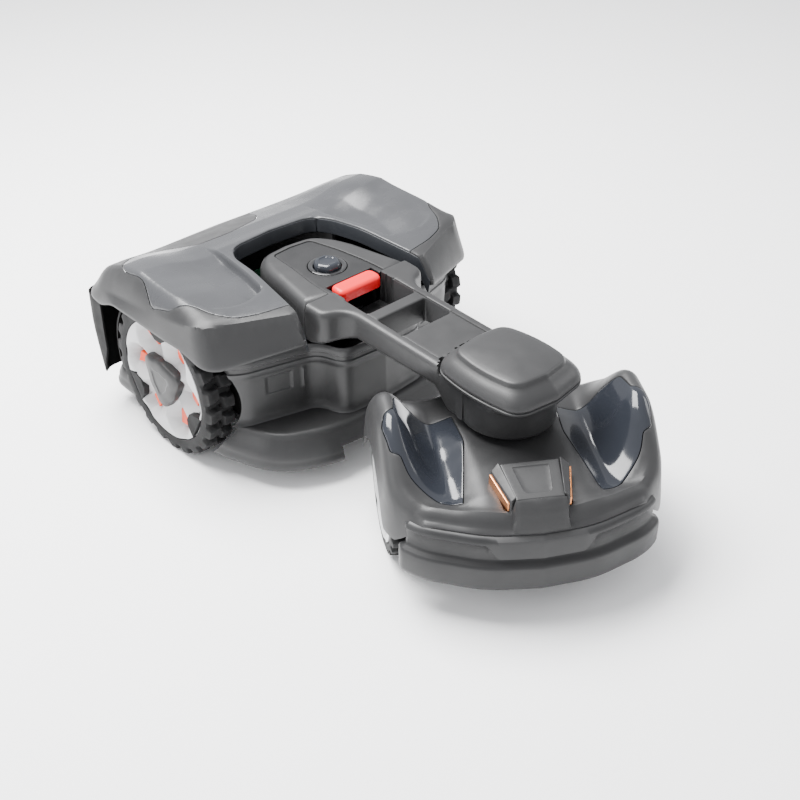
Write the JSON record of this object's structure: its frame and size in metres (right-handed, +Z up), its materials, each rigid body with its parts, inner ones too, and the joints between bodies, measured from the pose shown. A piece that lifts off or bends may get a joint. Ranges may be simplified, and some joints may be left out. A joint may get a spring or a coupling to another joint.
{
  "type": "robotic lawn mower",
  "caption": "Articulated all-wheel-drive robotic lawn mower: wide rear body with cutting disc, boom over a steering front module, four driven wheels.",
  "frame": {"origin": "on the ground, below the middle of the footprint", "axes": "+Z up, the front faces -Y, +X is the machine's left"},
  "size_m": [0.55, 0.944, 0.2897],
  "materials": {
    "shell": "satin",
    "panel": "satin",
    "dark": "satin",
    "black": "matte",
    "gloss": "gloss",
    "red": "satin",
    "white": "satin",
    "orange": "satin",
    "tyre": "matte",
    "rubber": "matte",
    "steel": "brushed",
    "copper": "satin",
    "board": "satin",
    "cell": "matte"
  },
  "bodies": {
    "rear_body": {"antenna_board": "board", "battery_pack": "cell", "boom": "shell", "console": "shell", "console_board": "board", "control_plate": "dark", "height_motor": "black", "hood_post_left": "rubber", "hood_post_right": "rubber", "main_board": "board", "pod_base": "shell", "pod_cap": "shell", "rear_chassis": "shell", "rear_gear_motor_left": "black", "rear_gear_motor_right": "black", "steering_motor": "black"},
    "hood": {"rear_hood": "shell", "hood_panel": "panel", "hood_trim": "dark"},
    "stop_key": {"stop_button": "red"},
    "dial": {"start_dial": "black"},
    "dial_button": {"start_button": "gloss"},
    "cutting_unit": {"height_carriage": "dark", "blade_motor": "black"},
    "lift_screw": {"height_screw": "steel"},
    "cutting_disc": {"blade_disc": "steel", "blade_screw_1": "steel", "blade_screw_2": "steel", "blade_screw_3": "steel"},
    "blade_one": {"blade_1": "steel"},
    "blade_two": {"blade_2": "steel"},
    "blade_three": {"blade_3": "steel"},
    "skid": {"skid_plate": "dark"},
    "steering": {"steering_column": "black", "steering_gear": "steel"},
    "pinion": {"steering_pinion": "steel"},
    "front_body": {"front_chassis": "dark", "front_cover": "shell", "front_window_left": "gloss", "front_window_right": "gloss", "front_bumper": "dark", "charge_block": "shell", "charge_contact_left": "copper", "charge_contact_right": "copper", "roll_shaft": "steel", "front_gear_motor_left": "black", "front_gear_motor_right": "black"},
    "rear_wheel_left": {"rear_tyre_left": "tyre", "rear_rim_left": "white", "rear_rim_accent_left": "orange", "rear_hub_cap_left": "dark"},
    "front_wheel_left": {"front_tyre_left": "tyre", "front_rim_left": "white"},
    "rear_wheel_right": {"rear_tyre_right": "tyre", "rear_rim_right": "white", "rear_rim_accent_right": "orange", "rear_hub_cap_right": "dark"},
    "front_wheel_right": {"front_tyre_right": "tyre", "front_rim_right": "white"}
  },
  "joints": [
    {"name": "hood_bump", "type": "slide", "parent": "rear_body", "child": "hood", "axis": [0, 1, 0], "range_m": [-0.005, 0.005], "stiffness_N_per_m": 4000},
    {"name": "stop_press", "type": "slide", "parent": "rear_body", "child": "stop_key", "axis": [0, 0, -1], "range_m": [0, 0.004], "stiffness_N_per_m": 900},
    {"name": "dial_turn", "type": "hinge", "parent": "rear_body", "child": "dial", "pos_m": [0, 0.155, 0.258], "axis": [0, 0, 1], "continuous": true},
    {"name": "dial_press", "type": "slide", "parent": "rear_body", "child": "dial_button", "axis": [0, 0, -1], "range_m": [0, 0.0025], "stiffness_N_per_m": 900},
    {"name": "cutting_height", "type": "slide", "parent": "rear_body", "child": "cutting_unit", "axis": [0, 0, 1], "range_m": [-0.02, 0.02]},
    {"name": "screw_turn", "type": "hinge", "parent": "rear_body", "child": "lift_screw", "pos_m": [0.062, 0.158, 0.13], "axis": [0, 0, 1], "range_deg": [-901, 901]},
    {"name": "disc_spin", "type": "hinge", "parent": "cutting_unit", "child": "cutting_disc", "pos_m": [0, 0.158, 0.05], "axis": [0, 0, 1], "continuous": true},
    {"name": "blade_swing_1", "type": "hinge", "parent": "cutting_disc", "child": "blade_one", "pos_m": [0.05543, 0.19, 0.049], "axis": [0, 0, 1], "continuous": true},
    {"name": "blade_swing_2", "type": "hinge", "parent": "cutting_disc", "child": "blade_two", "pos_m": [-0.05543, 0.19, 0.049], "axis": [0, 0, 1], "continuous": true},
    {"name": "blade_swing_3", "type": "hinge", "parent": "cutting_disc", "child": "blade_three", "pos_m": [0, 0.094, 0.049], "axis": [0, 0, 1], "continuous": true},
    {"name": "skid_spin", "type": "hinge", "parent": "cutting_unit", "child": "skid", "pos_m": [0, 0.158, 0.04], "axis": [0, 0, 1], "continuous": true},
    {"name": "steer", "type": "hinge", "parent": "rear_body", "child": "steering", "pos_m": [0, -0.235, 0.2], "axis": [0, 0, 1], "range_deg": [-6.5, 73.5]},
    {"name": "pinion_turn", "type": "hinge", "parent": "rear_body", "child": "pinion", "pos_m": [0, -0.187, 0.206], "axis": [0, 0, 1], "range_deg": [-221, 20]},
    {"name": "front_roll", "type": "hinge", "parent": "steering", "child": "front_body", "pos_m": [0, -0.235, 0.132], "axis": [0.5519, 0.8339, 0], "range_deg": [-4, 4]},
    {"name": "rear_wheel_left_spin", "type": "hinge", "parent": "rear_body", "child": "rear_wheel_left", "pos_m": [0.24, 0.243, 0.126], "axis": [1, 0, 0], "continuous": true},
    {"name": "front_wheel_left_spin", "type": "hinge", "parent": "front_body", "child": "front_wheel_left", "pos_m": [0.12324, -0.34775, 0.101], "axis": [0.8339, -0.5519, 0], "continuous": true},
    {"name": "rear_wheel_right_spin", "type": "hinge", "parent": "rear_body", "child": "rear_wheel_right", "pos_m": [-0.24, 0.243, 0.126], "axis": [1, 0, 0], "continuous": true},
    {"name": "front_wheel_right_spin", "type": "hinge", "parent": "front_body", "child": "front_wheel_right", "pos_m": [-0.15194, -0.16561, 0.101], "axis": [0.8339, -0.5519, 0], "continuous": true}
  ],
  "couplings": [
    {"joint": "pinion_turn", "follows": "steer", "ratio": -3},
    {"joint": "screw_turn", "follows": "cutting_height", "rad_per_m": 785.4}
  ]
}
